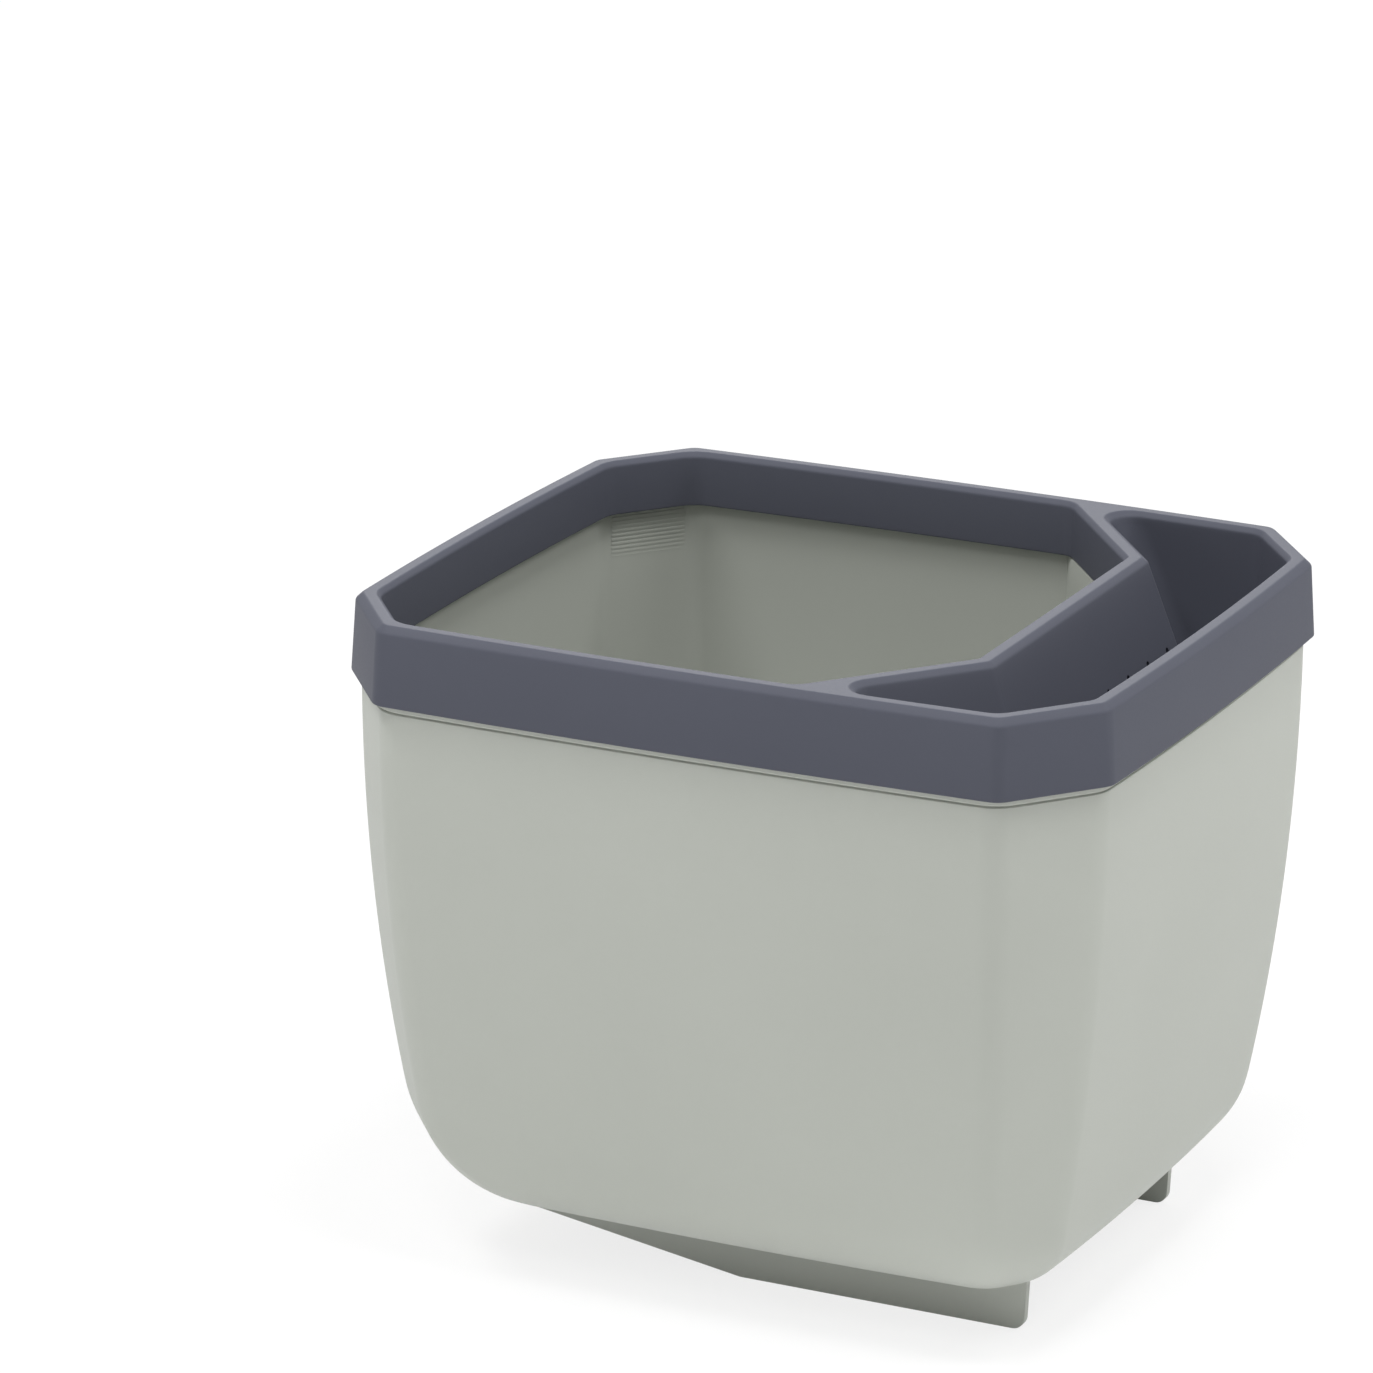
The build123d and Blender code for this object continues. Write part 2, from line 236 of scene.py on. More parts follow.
def needledFelt(name, look):
    # Needle-punched polyester felt: mixed grey and pale fibres, matted flat, with soft lumps
    surface = feltSurface
    material, tree = newMaterial(name)
    spot = addNode(tree, "ShaderNodeTexCoord", (-1200, 0)).outputs["Object"]
    flock = addNode(tree, "ShaderNodeTexNoise", (-900, 300),
                    {"Scale": 1 / look["flockSize"], "Detail": surface["flockDetail"],
                     "Distortion": surface["flockDistortion"]}, {"Vector": spot})
    lump = addNode(tree, "ShaderNodeTexNoise", (-900, 0),
                   {"Scale": 1 / look["lumpSize"], "Detail": surface["lumpDetail"]}, {"Vector": spot})
    colour = addNode(tree, "ShaderNodeMix", (-500, 300),
                     {"data_type": "RGBA", 6: linear(look["dark"]), 7: linear(look["light"])},
                     {0: flock.outputs["Fac"]})
    height = addNode(tree, "ShaderNodeMath", (-700, -200), {"operation": "ADD"},
                     {0: flock.outputs["Fac"], 1: lump.outputs["Fac"]})
    bump = addNode(tree, "ShaderNodeBump", (-400, -200),
                   {"Strength": surface["bumpStrength"], "Distance": look["lumpHeight"]},
                   {"Height": height.outputs[0]})
    shader = addNode(tree, "ShaderNodeBsdfPrincipled", (-100, 100),
                     {"Roughness": look["roughness"], "Sheen Weight": look["sheen"],
                      "Sheen Roughness": surface["sheenRoughness"],
                      "Specular IOR Level": surface["gloss"]},
                     {"Base Color": colour.outputs[2], "Normal": bump.outputs["Normal"]})
    addNode(tree, "ShaderNodeOutputMaterial", (300, 100), feeds={"Surface": shader.outputs["BSDF"]})
    return material


pale = moulded("polypropylenePale", palePlastic)
slate = moulded("polypropyleneSlate", slatePlastic)
rubber = moulded("rubberSeal", blackRubber)
matFelt = needledFelt("feltGrey", greyFelt)
wickFelt = needledFelt("feltPale", paleFelt)
print("materials done")

# Outlines: every level of the tub, rim and hopper is eight sides with rounded corners

plan = {
    "halfLength": 100 * mm,
    "halfWidth": 88.35 * mm,
    "cutX": 18.4 * mm,
    "cutY": 23.0 * mm,
    "bow": 1.4 * mm,  # how far each end and each long side bulges at its middle
    "leastCut": 10 * mm,
    "cutRoundShare": 0.8,
    "bridgeX": 57.3 * mm,  # the bridge's face towards the plant
    "bridgeBendY": 46.2 * mm,
}
cutNormal = Vector((plan["cutY"], plan["cutX"])).normalized()
cutLine = cutNormal.x * plan["halfLength"] + cutNormal.y * (plan["halfWidth"] - plan["cutY"])
bridgeLine = cutNormal.x * plan["bridgeX"] + cutNormal.y * plan["bridgeBendY"]
cornerTurns = sum((1 - n) / sqrt(1 - n * n) for n in cutNormal)  # tangents of half of both turns at a cut
bowSteps = 22
cornerSteps = 7
rectangleSteps = 6
mostOfRun = 0.45  # a softened bend takes at most this share of each run beside it


def lineSide(x, y, reach):  # a straight side: its outward direction and its distance from the origin
    return {"normal": Vector((x, y)), "reach": reach}


def bowSide(direction, end, half, across=0):  # a side that bulges by the bow between two corners at end
    radius = (half ** 2 + plan["bow"] ** 2) / (2 * plan["bow"])
    centre = direction * (end + plan["bow"] - radius)
    centre += Vector((abs(direction.y), 0)) * across
    return {"centre": centre, "radius": radius}


def outwards(side, point):
    return side["normal"] if "normal" in side else (point - side["centre"]).normalized()


def meetSides(one, two, inward):  # the point at inward from both sides, where one turns into two
    lines = [side for side in (one, two) if "normal" in side]
    if len(lines) == 2:
        (ax, ay), (bx, by) = one["normal"], two["normal"]
        a, b = one["reach"] - inward, two["reach"] - inward
        spread = ax * by - ay * bx
        return Vector((a * by - b * ay, b * ax - a * bx)) / spread
    line = lines[0]
    bow = two if line is one else one
    depth = line["reach"] - inward - line["normal"].dot(bow["centre"])
    along = Vector((-line["normal"].y, line["normal"].x)) * sqrt((bow["radius"] - inward) ** 2 - depth ** 2)
    return bow["centre"] + line["normal"] * depth + (along if line is one else -along)


def sweep(centre, radius, start, end, steps):
    return [centre + radius * Vector((cos(t), sin(t)))
            for t in (start + (end - start) * i / steps for i in range(steps + 1))]


def arcBetween(centre, radius, before, after, steps):  # the shorter way from one direction to the other
    start = atan2(before.y, before.x)
    turn = (atan2(after.y, after.x) - start + pi) % (2 * pi) - pi
    return sweep(centre, radius, start, start + turn, steps)


def roundedRectangle(centreX, halfLong, halfWide, radius):  # the halves reach to the centres of its corners
    points = []
    for i, (x, y) in enumerate(((1, 1), (-1, 1), (-1, -1), (1, -1))):
        middle = Vector((centreX + x * halfLong, y * halfWide))
        points += sweep(middle, radius, i * pi / 2, (i + 1) * pi / 2, rectangleSteps)
    return points


def edgeArc(radius, steps=4):  # down a rounded edge: how far below its top each point is, and how far in
    turns = [pi / 2 * i / steps for i in range(steps + 1)]
    return [(radius * (1 - sin(t)), radius * (1 - cos(t))) for t in turns]


def outline(sides, corners, z):
    # Points round the sides in turn; corners holds the radius after each side, below 0 where it turns back
    count = len(sides)
    centres = [meetSides(sides[i], sides[(i + 1) % count], corners[i]) for i in range(count)]
    points = []
    for i, side in enumerate(sides):
        before = outwards(side, centres[i - 1])
        after = outwards(side, centres[i])
        if "centre" in side:
            points += arcBetween(side["centre"], side["radius"], before, after, bowSteps)[1:-1]
        leaving = outwards(sides[(i + 1) % count], centres[i])
        points += arcBetween(centres[i], corners[i], after, leaving, cornerSteps)
    return [Vector((p.x, p.y, z)) for p in points]


def eightSides(right, left, side, rightCut, leftCut):
    # In turn from the right end by way of the rear, each side drawn in from the rim's line
    sideY = plan["halfWidth"] - side
    ends = []
    for endInset, cutInset in ((right, rightCut), (left, leftCut)):
        endX = plan["halfLength"] - endInset
        sharp = cutNormal.x * endX + cutNormal.y * sideY - plan["leastCut"] * cutNormal.x * cutNormal.y
        cutTo = min(cutLine - cutInset, sharp)
        cornerX = (cutTo - cutNormal.y * sideY) / cutNormal.x
        cornerY = (cutTo - cutNormal.x * endX) / cutNormal.y
        ends.append((endX, cutTo, cornerX, cornerY))
    (rightX, rightTo, rightCornerX, rightY), (leftX, leftTo, leftCornerX, leftY) = ends
    across = (rightCornerX - leftCornerX) / 2
    half = (rightCornerX + leftCornerX) / 2
    nx, ny = cutNormal
    sides = [
        bowSide(Vector((1, 0)), rightX, rightY),
        lineSide(nx, ny, rightTo),
        bowSide(Vector((0, 1)), sideY, half, across),
        lineSide(-nx, ny, leftTo),
        bowSide(Vector((-1, 0)), leftX, leftY),
        lineSide(-nx, -ny, leftTo),
        bowSide(Vector((0, -1)), sideY, half, across),
        lineSide(nx, -ny, rightTo),
    ]
    shortest = min(hypot(rightX - rightCornerX, sideY - rightY), hypot(leftX - leftCornerX, sideY - leftY))
    return sides, plan["cutRoundShare"] * shortest / cornerTurns


def roundPlan(z, right, left, side, rightCut, leftCut, radius):
    sides, most = eightSides(right, left, side, rightCut, leftCut)
    return outline(sides, [min(radius, most)] * 8, z)


def rimPlan(z, inset, radius):
    return roundPlan(z, inset, inset, inset, inset, inset, radius)


def evenSides(inset):
    return eightSides(inset, inset, inset, inset, inset)[0]


def plantOutline(z, sides, shift, corners):
    # The plant's side of the bridge: its bent line, moved by shift, closes the outline
    nx, ny = cutNormal
    bent = [lineSide(1, 0, plan["bridgeX"] + shift), lineSide(nx, ny, bridgeLine + shift)]
    closing = lineSide(nx, -ny, bridgeLine + shift)
    return outline(bent + sides[2:7] + [closing], corners, z)


def plantPlan(z, inset, shift, corner, bridgeEnd, bend):
    corners = [bend, bridgeEnd, corner, corner, corner, corner, bridgeEnd, bend]
    return plantOutline(z, evenSides(inset), shift, corners)


def hopperPlan(z, inset, shift, corner, bend):
    # The water's side of the bridge: its bent line turns back into the outline
    sides = evenSides(inset)
    nx, ny = cutNormal
    bent = [
        lineSide(-nx, -ny, -bridgeLine - shift),
        lineSide(-1, 0, -plan["bridgeX"] - shift),
        lineSide(-nx, ny, -bridgeLine - shift),
    ]
    corners = [corner, corner, corner, -bend, -bend, corner, corner, corner]
    return outline(sides[:3] + bent + sides[6:], corners, z)


def softProfile(stations, radius, steps=3):
    # A profile's inner stations each become a small arc; a station is a height and the plan's numbers there
    soft = [stations[0]]
    for before, here, after in zip(stations, stations[1:], stations[2:]):
        ends = []
        for other in (before, after):
            step = [o - h for o, h in zip(other, here)]
            length = sqrt(sum(v * v for v in step))
            share = min(radius / length, mostOfRun)
            ends.append([h + v * share for h, v in zip(here, step)])
        for i in range(steps + 1):
            t = i / steps
            soft.append([a * (1 - t) ** 2 + 2 * h * t * (1 - t) + b * t ** 2
                         for a, h, b in zip(ends[0], here, ends[1])])
    return soft + [stations[-1]]


def addRing(mesh, points):
    return [mesh.verts.new(p) for p in points]


def joinRings(mesh, rings):
    for low, high in zip(rings, rings[1:]):
        for i in range(len(low)):
            j = (i + 1) % len(low)
            mesh.faces.new((low[i], low[j], high[j], high[i]))


def fillFlat(mesh, loops):  # a flat face inside the first loop and round the others
    verts = [v for loop in loops for v in loop]
    for triangle in tessellate_polygon([[v.co for v in loop] for loop in loops]):
        mesh.faces.new([verts[i] for i in triangle])


def finishMesh(mesh, name, angle):
    bmesh.ops.recalc_face_normals(mesh, faces=mesh.faces)
    data = bpy.data.meshes.new(name)
    mesh.to_mesh(data)
    mesh.free()
    piece = bpy.data.objects.new(name, data)
    bpy.context.scene.collection.objects.link(piece)
    shadeByAngle(piece, angle)
    return piece


def mount(piece, body, node, material):
    wear(piece, material)
    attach(piece, body)
    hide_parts(node)


# Tub: the bellied bowl and the wall across it, worked out as smooth skins

tubShape = {
    "inset": 1.0 * mm,
    "wall": 2.4 * mm,
    "base": 12.5 * mm,
    "bandFoot": 150 * mm,
    "belly": 14.0 * mm,
    "leftBelly": 16.3 * mm,
    "bellyPower": 2.1,
    "rightRound": 18.5 * mm,
    "sideRound": 23.3 * mm,
    "leftRound": 33.7 * mm,
    "cornerRoundShare": 1.07,
    "cornerRadius": 10 * mm,
    "grooveFoot": 147.9 * mm,  # the groove is a little higher than in the CAD, as the photograph shows it
    "grooveTop": 148.4 * mm,
    "grooveDepth": 0.5 * mm,
    "collarFootInset": 0.65 * mm,
    "collarTopInset": 1.9 * mm,
    "top": 166.7 * mm,
    "edgeRound": 0.25 * mm,
    "wallSteps": 18,
    "roundSteps": 26,
    "sharpAngle": 32,  # degrees: edges that turn by more are drawn sharp
}


def bellyInset(z, depth):
    look = tubShape
    share = max((look["bandFoot"] - z) / (look["bandFoot"] - look["base"]), 0)
    return depth * share ** look["bellyPower"]


def roundInset(z, base, radius):
    rise = min(max((base + radius - z) / radius, 0), 1)
    return radius * (1 - sqrt(1 - rise ** 2))


def tubPlan(z, inward):  # the bowl's outer face, or its inner one a wall further in
    look = tubShape
    base = look["base"] + inward
    right, side, left = (look[k] - inward for k in ("rightRound", "sideRound", "leftRound"))
    rightCorner = look["cornerRoundShare"] * (right + side) / 2
    leftCorner = look["cornerRoundShare"] * (left + side) / 2
    start = look["inset"] + inward
    near = start + bellyInset(z, look["belly"])
    far = start + bellyInset(z, look["leftBelly"])
    return roundPlan(
        z,
        near + roundInset(z, base, right),
        far + roundInset(z, base, left),
        near + roundInset(z, base, side),
        near + roundInset(z, base, rightCorner),
        far + roundInset(z, base, leftCorner),
        look["cornerRadius"] - inward,
    )


def bowlHeights(top, inward):  # even steps down the wall, then turns round the widest rounding
    look = tubShape
    base = look["base"] + inward
    radius = look["leftRound"] - inward
    wallSteps, roundSteps = look["wallSteps"], look["roundSteps"]
    walls = [top + (base + radius - top) * i / wallSteps for i in range(wallSteps)]
    return walls + [base + radius * (1 - sin(pi / 2 * i / roundSteps)) for i in range(roundSteps + 1)]


def skin(rings):  # closed rings joined in turn, and the two ends filled flat
    count = len(rings[0])
    points = [p for ring in rings for p in ring]
    faces = [tuple(reversed(range(count)))]
    for level in range(len(rings) - 1):
        low, high = level * count, (level + 1) * count
        faces += [(low + i, low + (i + 1) % count, high + (i + 1) % count, high + i) for i in range(count)]
    last = (len(rings) - 1) * count
    faces.append(tuple(last + i for i in range(count)))
    return points, faces


def tubBowl():
    look = tubShape
    soft = look["edgeRound"]
    radius = look["cornerRadius"]
    groove = look["inset"] + look["grooveDepth"]
    lean = (look["collarTopInset"] - look["collarFootInset"]) / (look["top"] - look["grooveTop"])
    inside = look["inset"] + look["wall"]
    rings = [tubPlan(z, 0) for z in reversed(bowlHeights(look["grooveFoot"] - soft, 0))]
    rings.append(rimPlan(look["grooveFoot"], look["inset"] + soft, radius))
    rings.append(rimPlan(look["grooveFoot"], groove, radius))
    rings.append(rimPlan(look["grooveTop"], groove, radius))
    rings.append(rimPlan(look["grooveTop"], look["collarFootInset"] + soft, radius))
    rings.append(rimPlan(look["grooveTop"] + soft, look["collarFootInset"] + soft * lean, radius))
    rings.append(rimPlan(look["top"] - soft, look["collarTopInset"] - soft * lean, radius))
    rings.append(rimPlan(look["top"], look["collarTopInset"] + soft, radius))
    rings.append(rimPlan(look["top"], inside - soft, radius - look["wall"]))
    rings += [tubPlan(z, look["wall"]) for z in bowlHeights(look["top"] - soft, look["wall"])]
    return skin(rings)


wallAcross = {
    "thickness": 2.4 * mm,
    "top": 155.5 * mm,
    "sunk": 1.2 * mm,  # how far its edges stand inside the bowl's wall
    "edgeRound": 0.4 * mm,
    "portWide": 15.0 * mm,
    "portTall": 5.0 * mm,
    "portHeight": 19.0 * mm,
    "portRound": 2.25 * mm,
    "portReach": 4,  # the cutter for the port is this many thicknesses long
}


def roundedBar(name, centre, size, radius):
    # A bar along X whose section has rounded corners, for cutting holes
    section = roundedRectangle(0, size[1] / 2 - radius, size[2] / 2 - radius, radius)
    rings = [
        [Vector((centre[0] + end * size[0] / 2, centre[1] + p.x, centre[2] + p.y)) for p in section]
        for end in (-1, 1)
    ]
    return newPiece(name, *skin(rings))


def acrossPlan(z, level, drawnIn):
    # The bent wall's outline at height z, reaching as far as the bowl does at level
    look = wallAcross
    wall = tubShape["wall"]
    sideY = plan["halfWidth"] - tubShape["inset"] - wall - bellyInset(level, tubShape["belly"])
    sideY -= roundInset(level, tubShape["base"] + wall, tubShape["sideRound"] - wall)
    endY = sideY + plan["bow"] / 2 + look["sunk"]
    faces = []
    for shift in (drawnIn, look["thickness"] - drawnIn):
        bendX = plan["bridgeX"] + shift
        bendY = (bridgeLine + shift - cutNormal.x * bendX) / cutNormal.y
        endX = (bridgeLine + shift - cutNormal.y * endY) / cutNormal.x
        faces.append([(endX, endY), (bendX, bendY), (bendX, -bendY), (endX, -endY)])
    return [Vector((x, y, z)) for x, y in faces[0] + faces[1][::-1]]


def tubWall():
    look = wallAcross
    wall = tubShape["wall"]
    floor = tubShape["base"] + wall
    top, soft = look["top"], look["edgeRound"]
    heights = [z for z in bowlHeights(top - soft, wall) if z > floor]
    rings = [acrossPlan(z, z, 0) for z in reversed(heights)]
    foot = [Vector((p.x, p.y, floor - look["sunk"])) for p in rings[0]]
    crown = [acrossPlan(top - down, top, drawnIn) for down, drawnIn in edgeArc(soft, 3)[1:]]
    across = newPiece("tubWall", *skin([foot] + rings + crown))
    middle = (plan["bridgeX"] + look["thickness"] / 2, 0, look["portHeight"])
    size = (look["portReach"] * look["thickness"], look["portWide"], look["portTall"])
    cutAway(across, [roundedBar("port", middle, size, look["portRound"])])
    return across


ribShape = {  # faint level ribs inside the bowl, on its rear left cut
    "count": 10,
    "length": 21 * mm,
    "height": 0.5 * mm,
    "depth": 1.0 * mm,
    "proud": 0.25 * mm,
    "fade": 0.02 * mm,  # how much less each next one down stands out
    "pitch": 1.15 * mm,
    "first": 154 * mm,
}


def ribGroup(name, material):  # bars in a row that steps down and outwards
    tree, sockets, given = openGroup(name, {
        "Geometry": "Geometry", "Count": "Int", "Bar size": "Vector",
        "Start": "Vector", "Step": "Vector", "Turn": "Vector",
    })
    row = addNode(tree, "GeometryNodeMeshLine", (-600, 200), {"mode": "OFFSET"},
                  {"Count": given["Count"], "Start Location": given["Start"], "Offset": given["Step"]})
    bar = addNode(tree, "GeometryNodeMeshCube", (-600, -100), None, {"Size": given["Bar size"]})
    bars = addNode(tree, "GeometryNodeInstanceOnPoints", (-300, 0), None,
                   {"Points": row.outputs[0], "Instance": bar.outputs[0], "Rotation": given["Turn"]})
    closeGroup(tree, given, bars.outputs[0], material)
    return tree, sockets


def growRibs(piece, look):
    inset = tubShape["inset"] + tubShape["wall"]
    nx, ny = cutNormal
    endX, sideY, reach = plan["halfLength"] - inset, plan["halfWidth"] - inset, cutLine - inset
    cornerX = (reach - ny * sideY) / nx
    cornerY = (reach - nx * endX) / ny
    middle = Vector((-(endX + cornerX) / 2, (sideY + cornerY) / 2, look["first"]))
    away = Vector((-nx, ny, 0))
    grow(piece, *ribGroup("innerRibs", pale), {
        "Count": look["count"],
        "Bar size": (look["depth"], look["length"], look["height"]),
        "Start": tuple(middle + away * (look["depth"] / 2 - look["proud"])),
        "Step": tuple(away * look["fade"] - Vector((0, 0, look["pitch"]))),
        "Turn": (0.0, 0.0, atan2(ny, -nx)),
    })


def makeTub():
    tub = newPiece("tubShell", *tubBowl())
    across = tubWall()
    bowl = bmesh.new()
    bowl.from_mesh(tub.data)
    bowl.from_mesh(across.data)
    bpy.data.objects.remove(across)
    bowl.to_mesh(tub.data)
    bowl.free()
    growRibs(tub, ribShape)
    shadeByAngle(tub, radians(tubShape["sharpAngle"]))
    mount(tub, "tub", "planter_tub", pale)


makeTub()
print("tub done")

# Rim: one moulding with the outer band, the lip, the skirt in the plant's opening and the bridge

rimShape = {
    "top": 170 * mm,
    "bandFoot": 150 * mm,
    "flare": 1.25 * mm,
    "bandWall": 1.6 * mm,
    "lipUnder": 167 * mm,
    "lipWidth": 5.8 * mm,
    "outerBevel": 1.7 * mm,
    "innerBevel": 1.2 * mm,
    "cornerRadius": 5.5 * mm,  # corners and bends are rounder than in the CAD, as the photograph shows them
    "plantCorner": 9.0 * mm,
    "leastRadius": 0.8 * mm,
    "skirtFoot": 155.8 * mm,
    "skirtWall": 1.8 * mm,
    "skirtDraft": 0.25 * mm,
    "beamShift": 4.43 * mm,  # the bridge's far side under the lip
    "bridgeWidth": 5.8 * mm,
    "bridgeBend": 3.5 * mm,
    "slope": 0.3443,  # the hopper wall beside the bridge leans by this much a unit of height
    "edgeRound": 0.5 * mm,
    "flatEdge": 0.6 * mm,  # a narrow strip of the flat lip beside each rounded edge
    "sharpAngle": 38,
}


def makeRim():
    look = rimShape
    top, corner, least = look["top"], look["cornerRadius"], look["leastRadius"]
    bevelFoot = top - look["innerBevel"]
    outerFoot = top - look["outerBevel"]
    flareAt = look["flare"] * look["outerBevel"] / (top - look["bandFoot"])
    band = softProfile([
        (look["lipUnder"], look["bandWall"]),
        (look["bandFoot"], look["bandWall"] - look["flare"]),
        (look["bandFoot"], -look["flare"]),
        (outerFoot, -flareAt),
        (top, look["outerBevel"]),
        (top, look["outerBevel"] + look["flatEdge"]),
    ], look["edgeRound"])
    lipEdge = look["innerBevel"] + look["flatEdge"]
    draft = look["skirtDraft"]
    skirt = softProfile([
        (top, lipEdge, lipEdge),
        (top, look["innerBevel"], look["innerBevel"]),
        (bevelFoot, 0, 0),
        (look["skirtFoot"], -draft, -draft),
        (look["skirtFoot"], look["skirtWall"], look["beamShift"]),
        (look["lipUnder"], look["skirtWall"], look["beamShift"]),
    ], look["edgeRound"])
    width = look["bridgeWidth"]
    topShift = width - look["innerBevel"] * (1 + look["slope"])
    spout = softProfile([
        (top, lipEdge, topShift - look["flatEdge"]),
        (top, look["innerBevel"], topShift),
        (bevelFoot, 0, width),
        (look["lipUnder"], 0, width + (bevelFoot - look["lipUnder"]) * look["slope"]),
    ], look["edgeRound"])
    mesh = bmesh.new()
    outer = [addRing(mesh, rimPlan(z, inset, max(corner - max(inset, 0), least))) for z, inset in band]
    plant = [
        addRing(mesh, plantPlan(z, look["lipWidth"] - grown, shift, look["plantCorner"] + grown,
                                corner + grown, least + max(grown, 0)))
        for z, grown, shift in skirt
    ]
    pour = [
        addRing(mesh, hopperPlan(z, look["lipWidth"] - grown, shift, corner + grown,
                                 max(look["bridgeBend"] - grown, least)))
        for z, grown, shift in spout
    ]
    for rings in (outer, plant, pour):
        joinRings(mesh, rings)
    fillFlat(mesh, [outer[-1], plant[0], pour[0]])
    fillFlat(mesh, [outer[0], plant[-1], pour[-1]])
    rim = finishMesh(mesh, "rimShell", radians(look["sharpAngle"]))
    mount(rim, "cap", "rim_frame", slate)


makeRim()
print("rim done")

# Hopper: a pocket whose walls follow the tub, with eight slots in the leaning wall

hopperShape = {
    "floor": 110 * mm,
    "top": 167 * mm,
    "wall": 1.6 * mm,
    "leanWall": 1.692 * mm,  # the wall's thickness measured level through the leaning side
    "topInset": 4.2 * mm,
    "floorInset": 5.05 * mm,
    "corner": 5.1 * mm,
    "innerCorner": 5.5 * mm,  # this and the bend are rounder than in the CAD too
    "bend": 3.5 * mm,
    "edgeRound": 0.5 * mm,
    "slots": 8,
    "slotPitch": 12.6 * mm,
    "slotWidth": 1.6 * mm,
    "slotRoundShare": 0.49,  # its ends' radius as a share of its width
    "slotFoot": 116.6 * mm,
    "slotTop": 148.6 * mm,
    "sharpAngle": 32,
}


def makeHopper():
    look = hopperShape
    bevelFoot = rimShape["top"] - rimShape["innerBevel"]
    innerFloor = look["floor"] + look["wall"]

    def level(z, thick, drawnIn=0):  # the pocket's outer face, or its inner one where thick
        share = (look["top"] - z) / (look["top"] - look["floor"])
        wall, lean = (look["wall"], look["leanWall"]) if thick else (0, 0)
        inset = look["topInset"] + (look["floorInset"] - look["topInset"]) * share + wall + drawnIn
        shift = rimShape["bridgeWidth"] + (bevelFoot - z) * rimShape["slope"] - look["leanWall"]
        corner = look["innerCorner"] if thick else look["corner"]
        return hopperPlan(z, inset, shift + lean + drawnIn, corner, look["bend"])

    arc = edgeArc(look["edgeRound"])
    outerFoot = [level(look["floor"] + down, False, drawnIn) for down, drawnIn in reversed(arc)]
    innerFoot = [level(innerFloor + down, True, drawnIn) for down, drawnIn in arc]
    rings = outerFoot + [level(look["top"], False), level(look["top"], True)] + innerFoot
    hopper = newPiece("hopperShell", *skin(rings))
    middle = (look["slotFoot"] + look["slotTop"]) / 2
    reach = rimShape["bridgeWidth"] + (bevelFoot - look["slotFoot"]) * rimShape["slope"] + look["wall"]
    size = (reach, look["slotWidth"], look["slotTop"] - look["slotFoot"])
    slots = []
    for i in range(look["slots"]):
        spot = (plan["bridgeX"] + reach / 2, (i - (look["slots"] - 1) / 2) * look["slotPitch"], middle)
        slots.append(roundedBar("slot", spot, size, look["slotWidth"] * look["slotRoundShare"]))
    cutAway(hopper, slots)
    shadeByAngle(hopper, radians(look["sharpAngle"]))
    mount(hopper, "cap", "watering_hopper", slate)


makeHopper()
print("hopper done")

# Feet: the CAD runners with their moulded edges softened

footShape = {
    "edgeRound": 0.3 * mm,
    "edgeSegments": 3,
    "sharpAngle": 30,
    "flatAngle": 0.3,  # degrees: the CAD's triangles that lie flatter than this become one face
    "weld": 0.001 * mm,
}


def makeFoot(node, name):
    look = footShape
    sharp = radians(look["sharpAngle"])
    mesh = bmesh.new()
    mesh.from_mesh(nodes[node].data)
    bmesh.ops.remove_doubles(mesh, verts=mesh.verts, dist=look["weld"])
    bmesh.ops.dissolve_limit(mesh, angle_limit=radians(look["flatAngle"]), verts=mesh.verts, edges=mesh.edges)
    foot = finishMesh(mesh, name, sharp)
    bevel = foot.modifiers.new("softEdges", "BEVEL")
    bevel.width = look["edgeRound"]
    bevel.segments = look["edgeSegments"]
    bevel.limit_method = "ANGLE"
    bevel.angle_limit = sharp
    bevel.harden_normals = True
    bake(foot)
    mount(foot, "tub", node, pale)


makeFoot("front_foot", "frontFoot")
makeFoot("rear_foot", "rearFoot")
wear(nodes["wick_seal"], rubber)
print("feet done")

# Felt: the mat and the wick, each a soft slab with loose fibres standing on it

matShape = {
    "foot": 15.2 * mm,
    "thickness": 5 * mm,
    "margin": 1.5 * mm,
    "corner": 4 * mm,
    "channelStart": -25.5 * mm,
    "channelWide": 13 * mm,
    "cutterTall": 3,  # the cutter for the channel is this many thicknesses tall
    "edge": 1.0 * mm,
    "sharpAngle": 40,
    "fibresPerArea": 160000.0,  # fibres to the square metre
    "fibreLength": 3.2 * mm,
    "fibreRadius": 0.045 * mm,  # felt fibres are usually a few times thinner, too thin to show
    "seed": 3,
}
wickShape = {
    "left": -25 * mm,
    "right": 72 * mm,
    "width": 12 * mm,
    "height": 19 * mm,
    "thickness": 2 * mm,
    "cornerRound": 3 * mm,
    "edge": 0.45 * mm,
    "sharpAngle": 40,
    "fibresPerArea": 25000.0,
    "fibreLength": 2.4 * mm,
    "fibreRadius": 0.04 * mm,
    "seed": 5,
}
fibreForm = {  # one fibre of length 1: the three points that bend it, and how its length varies
    "start": (-0.5, 0, -0.02),
    "middle": (0.05, 0.3, 0.12),
    "end": (0.5, 0, 0.0),
    "bends": 4,
    "sides": 3,
    "shortest": 0.5,
    "longest": 1.2,
}


